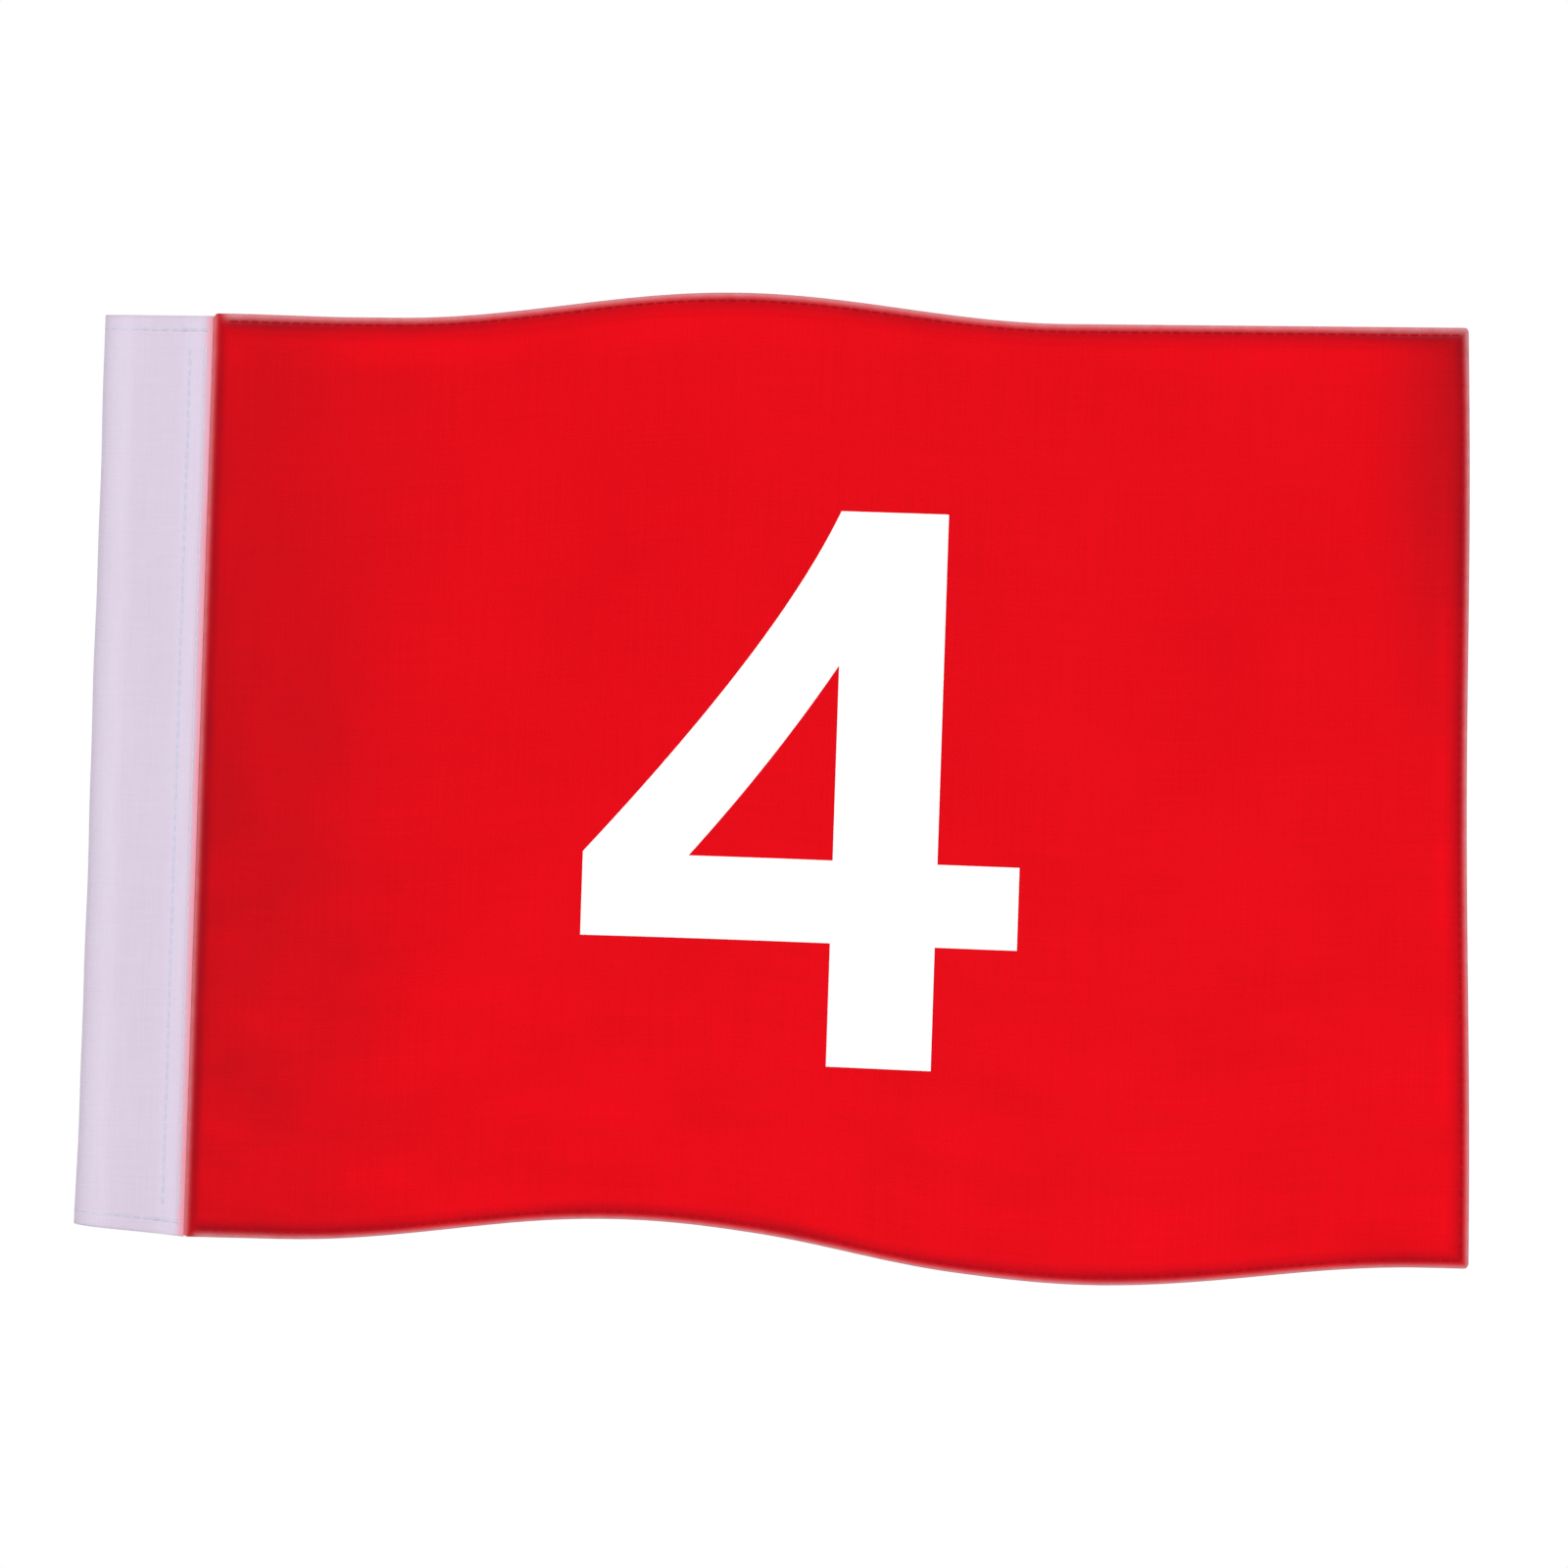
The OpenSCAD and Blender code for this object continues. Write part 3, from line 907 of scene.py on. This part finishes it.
def nylon():
    """Red flag nylon: woven and faintly streaked, with worn rims that carry a painted highlight,
    painted shade towards the sleeve, in the hems' grooves and beside the seam, a darker head corner,
    and painted highlights along the hems and a lighter foot.
    """
    paint = Paint("flag_nylon")
    height, over = paint.weave(0.0006)
    streaks = paint.threads(0.0009, 0.05)
    patches = paint.noise(paint.uv(14, 14), detail=3.0)
    dye = paint.mix(
        paint.scaled(patches, -0.4, 1.4), (0.645, 0.0022, 0.0065, 1), (0.685, 0.0028, 0.0070, 1)
    )
    # Painted shade towards the sleeve, and a darker head corner, made patchy
    clouds = paint.scaled(paint.noise(paint.uv(30, 16), detail=4.0), 0.4, 1.6)
    soiled = paint.mix(
        paint.math("MULTIPLY", paint.attribute("soiled"), clouds), dye, (0.455, 0.0035, 0.0070, 1)
    )
    # Painted highlights along the hems, and a lighter foot
    highlight_patches = paint.scaled(paint.noise(paint.uv(14, 34), detail=4.0), -2.0, 3.8)
    rubbed = paint.mix(
        paint.math("MULTIPLY", paint.attribute("rubbed"), highlight_patches), soiled, (0.86, 0.0026, 0.0085, 1)
    )
    thread = paint.math("ADD", paint.scaled(streaks, 0.88, 1.12), paint.scaled(height, -0.06, 0.03))
    crossing = paint.math("MULTIPLY", over, 0.012)
    cloth = paint.mix(1.0, rubbed, paint.math("ADD", thread, crossing), "MULTIPLY")
    # Painted shade in the hems' stitched grooves and beside the seam
    shade_unevenness = paint.scaled(paint.noise(paint.uv(24, 24), detail=3.0), 0.2, 1.2)
    shaded_cloth = paint.mix(
        paint.math("MULTIPLY", paint.attribute("shade"), shade_unevenness), cloth, (0.20, 0.003, 0.009, 1)
    )
    # Pale rims: worn, and on the hems' rounded folds a painted highlight
    uneven = paint.scaled(paint.noise(paint.uv(180, 180), detail=3.0), 0.55, 1.25)
    colour = paint.mix(
        paint.math("MULTIPLY", paint.attribute("worn"), uneven), shaded_cloth, (0.60, 0.24, 0.26, 1)
    )
    crumple = paint.noise(paint.uv(70, 45), detail=4.0, roughness=0.55)
    soft = paint.bump(crumple, 0.0007, 0.5)
    normal = paint.bump(paint.math("ADD", height, streaks), 0.00012, 0.5, under=soft)
    paint.set(
        Base_Color=colour,
        Roughness=paint.scaled(streaks, 0.46, 0.66),
        Normal=normal,
        Specular_IOR_Level=0.2,
        Specular_Tint=(1.0, 0.08, 0.12, 1),
        Sheen_Weight=0.05,
        Sheen_Roughness=0.45,
        Sheen_Tint=(1.0, 0.08, 0.12, 1),
    )
    return paint.material


def canvas():
    """Pale lavender sleeve cloth, tinted pink by the red cloth behind its seam, with painted shade
    along its seam's rows.
    """
    paint = Paint("sleeve_canvas")
    height, _ = paint.weave(0.0008)
    streaks = paint.threads(0.0011, 0.03)
    patches = paint.noise(paint.uv(20, 20), detail=2.0)
    base = paint.mix(patches, (0.632, 0.552, 0.680, 1), (0.650, 0.569, 0.697, 1))
    thread = paint.math("ADD", paint.scaled(streaks, 0.94, 1.06), paint.scaled(height, -0.05, 0.03))
    cloth = paint.mix(1.0, base, thread, "MULTIPLY")
    uneven = paint.scaled(paint.noise(paint.uv(60, 25), detail=3.0), 0.55, 1.3)
    pink = paint.math("MULTIPLY", paint.attribute("seam"), uneven)
    bled = paint.mix(pink, cloth, (0.74, 0.27, 0.34, 1))
    dust = paint.math("MULTIPLY", paint.attribute("worn"), 0.22)
    dusty = paint.mix(dust, bled, (0.42, 0.40, 0.42, 1))
    # Painted shade along the seam's rows
    dip = paint.math("MULTIPLY", paint.attribute("shade"), 0.15)
    colour = paint.mix(dip, dusty, (0.52, 0.53, 0.66, 1))
    crumple = paint.noise(paint.uv(120, 90), detail=3.0)
    soft = paint.bump(crumple, 0.0004, 0.5)
    normal = paint.bump(paint.math("ADD", height, streaks), 0.00016, 0.6, under=soft)
    paint.set(
        Base_Color=colour,
        Roughness=paint.scaled(streaks, 0.72, 0.92),
        Normal=normal,
        Specular_IOR_Level=0.2,
        Sheen_Weight=0.12,
        Sheen_Roughness=0.5,
    )
    return paint.material


def film():
    """White heat-pressed film, which the cloth's weave and the press have marked."""
    paint = Paint("number_film")
    height, _ = paint.weave(0.0006)
    patches = paint.noise(paint.uv(30, 30), detail=2.0)
    pores = paint.noise(paint.uv(900, 900), detail=1.0)
    colour = paint.mix(patches, grey(0.845), grey(0.885))
    soft = paint.bump(patches, 0.0006, 0.4)
    normal = paint.bump(paint.math("ADD", height, pores), 0.00006, 0.5, under=soft)
    paint.set(
        Base_Color=colour,
        Roughness=paint.scaled(pores, 0.36, 0.56),
        Normal=normal,
        Specular_IOR_Level=0.4,
    )
    return paint.material


def plastic():
    """Milky extruded tube with faint drawing lines along it."""
    paint = Paint("tube_plastic")
    lines = paint.noise(paint.uv(2500, 4), detail=2.0)
    cloud = paint.noise(paint.uv(60, 20), detail=2.0)
    colour = paint.mix(cloud, (0.66, 0.67, 0.66, 1), (0.76, 0.77, 0.75, 1))
    paint.set(
        Base_Color=colour,
        Roughness=paint.scaled(lines, 0.28, 0.48),
        Normal=paint.bump(lines, 0.00008, 0.4),
        Subsurface_Weight=0.2,
        Subsurface_Scale=0.002,
    )
    return paint.material


def yarn(name, dark, light, shine):
    """Twisted sewing thread between two colours, with the colour of its shine."""
    paint = Paint(name)
    split = paint.tree.nodes.new("ShaderNodeSeparateXYZ")
    paint.feed(split.inputs[0], paint.uv(TURN / 0.0009, TURN / 0.0009))
    twist = paint.math("SINE", paint.math("ADD", split.outputs[0], split.outputs[1]))
    strand = paint.scaled(twist, 0.5, 1.0)
    shades = paint.noise(paint.uv(400, 400), detail=1.0)
    colour = paint.mix(paint.math("MULTIPLY", strand, shades), dark, light)
    paint.set(
        Base_Color=colour,
        Roughness=paint.scaled(shades, 0.4, 0.6),
        Normal=paint.bump(strand, 0.00008, 0.8),
        Specular_IOR_Level=0.3,
        Specular_Tint=shine,
    )
    return paint.material


# ---------------------------------------------------------------- the pieces

def finish_piece(obj, material, replaced):
    obj.data.materials.append(material)
    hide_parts(replaced)
    return obj


red_cloth = nylon()
white_cloth = canvas()
white_film = film()
white_yarn = yarn("white_thread", (0.50, 0.52, 0.64, 1), (0.70, 0.71, 0.80, 1), grey(1.0))
red_yarn = yarn("red_thread", (0.33, 0.003, 0.008, 1), (0.58, 0.006, 0.013, 1), (1.0, 0.1, 0.12, 1))

flag = finish_piece(make_panel(), red_cloth, "fly_panel")
sleeve = finish_piece(make_sleeve(), white_cloth, "pole_sleeve")
tube = finish_piece(make_tube(), plastic(), "tube_insert")
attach(sleeve, "sleeve")
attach(tube, "tube")

for film_name, film_side, film_node in (
    ("number_on_front", -1, "number_front"),
    ("number_on_back", 1, "number_back"),
):
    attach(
        finish_piece(make_number(film_name, film_side), white_film, film_node),
        "fly",
    )

seam_rows = [
    finish_piece(make_seam_stitches(row_name, from_seam), white_yarn, row_node)
    for row_name, from_seam, row_node in (
        ("outer_seam_stitches", OUTER_ROW, "seam_thread_outer"),
        ("inner_seam_stitches", INNER_ROW, "seam_thread_inner"),
    )
]
seam_rows += [
    finish_piece(make_sleeve_hem_stitches(row_name, at_top), white_yarn, row_node)
    for row_name, at_top, row_node in (
        ("sleeve_top_stitches", True, "sleeve_top_hem_thread"),
        ("sleeve_bottom_stitches", False, "sleeve_bottom_hem_thread"),
    )
]
for row in seam_rows:
    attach(row, "sleeve")

row_s = spaced(ROW_START, free_edge(1.0) - HEM_ROW)
top_row = make_hem_stitches("top_hem_stitches", row_s, top_edge(row_s) - HEM_ROW)
row_s = spaced(ROW_START, free_edge(0.0) - HEM_ROW)
bottom_row = make_hem_stitches("bottom_hem_stitches", row_s, bottom_edge(row_s) + HEM_ROW)
row_z = spaced(bottom_edge(FLY_LEN) + HEM_ROW, top_edge(FLY_LEN) - HEM_ROW)
row_s = free_edge(height_share(FLY_LEN, row_z)) - HEM_ROW
fly_row = make_hem_stitches("free_edge_stitches", row_s, row_z)
finish_piece(top_row, red_yarn, "top_hem_thread")
finish_piece(bottom_row, red_yarn, "bottom_hem_thread")
finish_piece(fly_row, red_yarn, "fly_hem_thread")
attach(fly_row, "fly")

# The cloth and the rows that start at the seam are not attached to a body; their placement is baked
# into their meshes
for bending in (flag, top_row, bottom_row):
    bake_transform(bending)


# ---------------------------------------------------------------- floor, light and camera

def make_floor():
    """A pale studio floor below the flag, which turns into the white of the background further out."""
    radius = 60
    depth = 0.52
    fade = {"From Min": 0.6, "From Max": 1.8}
    mesh = bpy.data.meshes.new("studio_floor")
    turn = np.linspace(0, TURN, 96, endpoint=False)
    edge = [(radius * math.cos(a), radius * math.sin(a), 0) for a in turn]
    mesh.from_pydata(edge, [], [list(range(len(edge)))])
    floor = new_object("studio_floor", mesh)
    floor.location = ((CAD_BOX[0].x + CAD_BOX[1].x) / 2, 0, -depth)
    paint = Paint("studio_floor")
    place = paint.tree.nodes.new("ShaderNodeTexCoord")
    length = paint.tree.nodes.new("ShaderNodeVectorMath")
    length.operation = "LENGTH"
    paint.feed(length.inputs[0], place.outputs["Object"])
    reach = paint.tree.nodes.new("ShaderNodeMapRange")
    reach.interpolation_type = "SMOOTHSTEP"
    paint.feed(reach.inputs["Value"], length.outputs["Value"])
    for name, value in fade.items():
        paint.feed(reach.inputs[name], value)
    far = reach.outputs[0]
    paint.set(
        Base_Color=paint.mix(far, grey(0.84), grey(0.0)),
        Roughness=0.9,
        Specular_IOR_Level=0.0,
        Emission_Color=grey(1.0),
        Emission_Strength=far,
    )
    mesh.materials.append(paint.material)


def make_world():
    """A white background. It lights the object more softly than it looks."""
    world = bpy.data.worlds.new("studio")
    world.use_nodes = True
    bpy.context.scene.world = world
    tree = world.node_tree
    background = tree.nodes["Background"]
    background.inputs["Color"].default_value = grey(1.0)
    seen = tree.nodes.new("ShaderNodeLightPath").outputs["Is Camera Ray"]
    strength = tree.nodes.new("ShaderNodeMapRange")
    tree.links.new(seen, strength.inputs["Value"])
    strength.inputs["To Min"].default_value = 0.5
    strength.inputs["To Max"].default_value = 1.0
    tree.links.new(strength.outputs[0], background.inputs["Strength"])


def make_sun(name, azimuth, elevation, strength, softness):
    """A far soft lamp. Azimuth 0 shines along +Y, and -90 along +X."""
    lamp = bpy.data.lights.new(name, "SUN")
    lamp.energy = strength
    lamp.angle = math.radians(softness)
    a, e = math.radians(azimuth), math.radians(elevation)
    towards_lamp = Vector((math.sin(a) * math.cos(e), -math.cos(a) * math.cos(e), math.sin(e)))
    obj = new_object(name, lamp)
    obj.rotation_mode = "QUATERNION"
    obj.rotation_quaternion = towards_lamp.to_track_quat("Z", "Y")


def make_camera():
    """A square-on view from far off and barely above, with the flag tipped a little clockwise."""
    distance = 6.0
    picture_width = 0.6059
    elevation = math.radians(1)
    roll = math.radians(1.9)
    target = Vector((0.2585, 0, 0.0046))
    data = bpy.data.cameras.new("camera")
    data.lens = data.sensor_width * distance / picture_width
    camera = new_object("camera", data)
    back = Vector((0, -math.cos(elevation), math.sin(elevation)))
    camera.location = target + distance * back
    camera.rotation_mode = "QUATERNION"
    tip = Quaternion((0, 0, 1), roll)
    camera.rotation_quaternion = (-back).to_track_quat("-Z", "Y") @ tip
    bpy.context.scene.camera = camera


make_floor()
make_world()
make_sun("key_light", azimuth=-8, elevation=28, strength=1.62, softness=35)
make_sun("fill_light", azimuth=35, elevation=12, strength=0.35, softness=60)
make_sun("back_light", azimuth=160, elevation=35, strength=1.4, softness=50)
make_camera()
bpy.context.scene.view_settings.view_transform = "Standard"
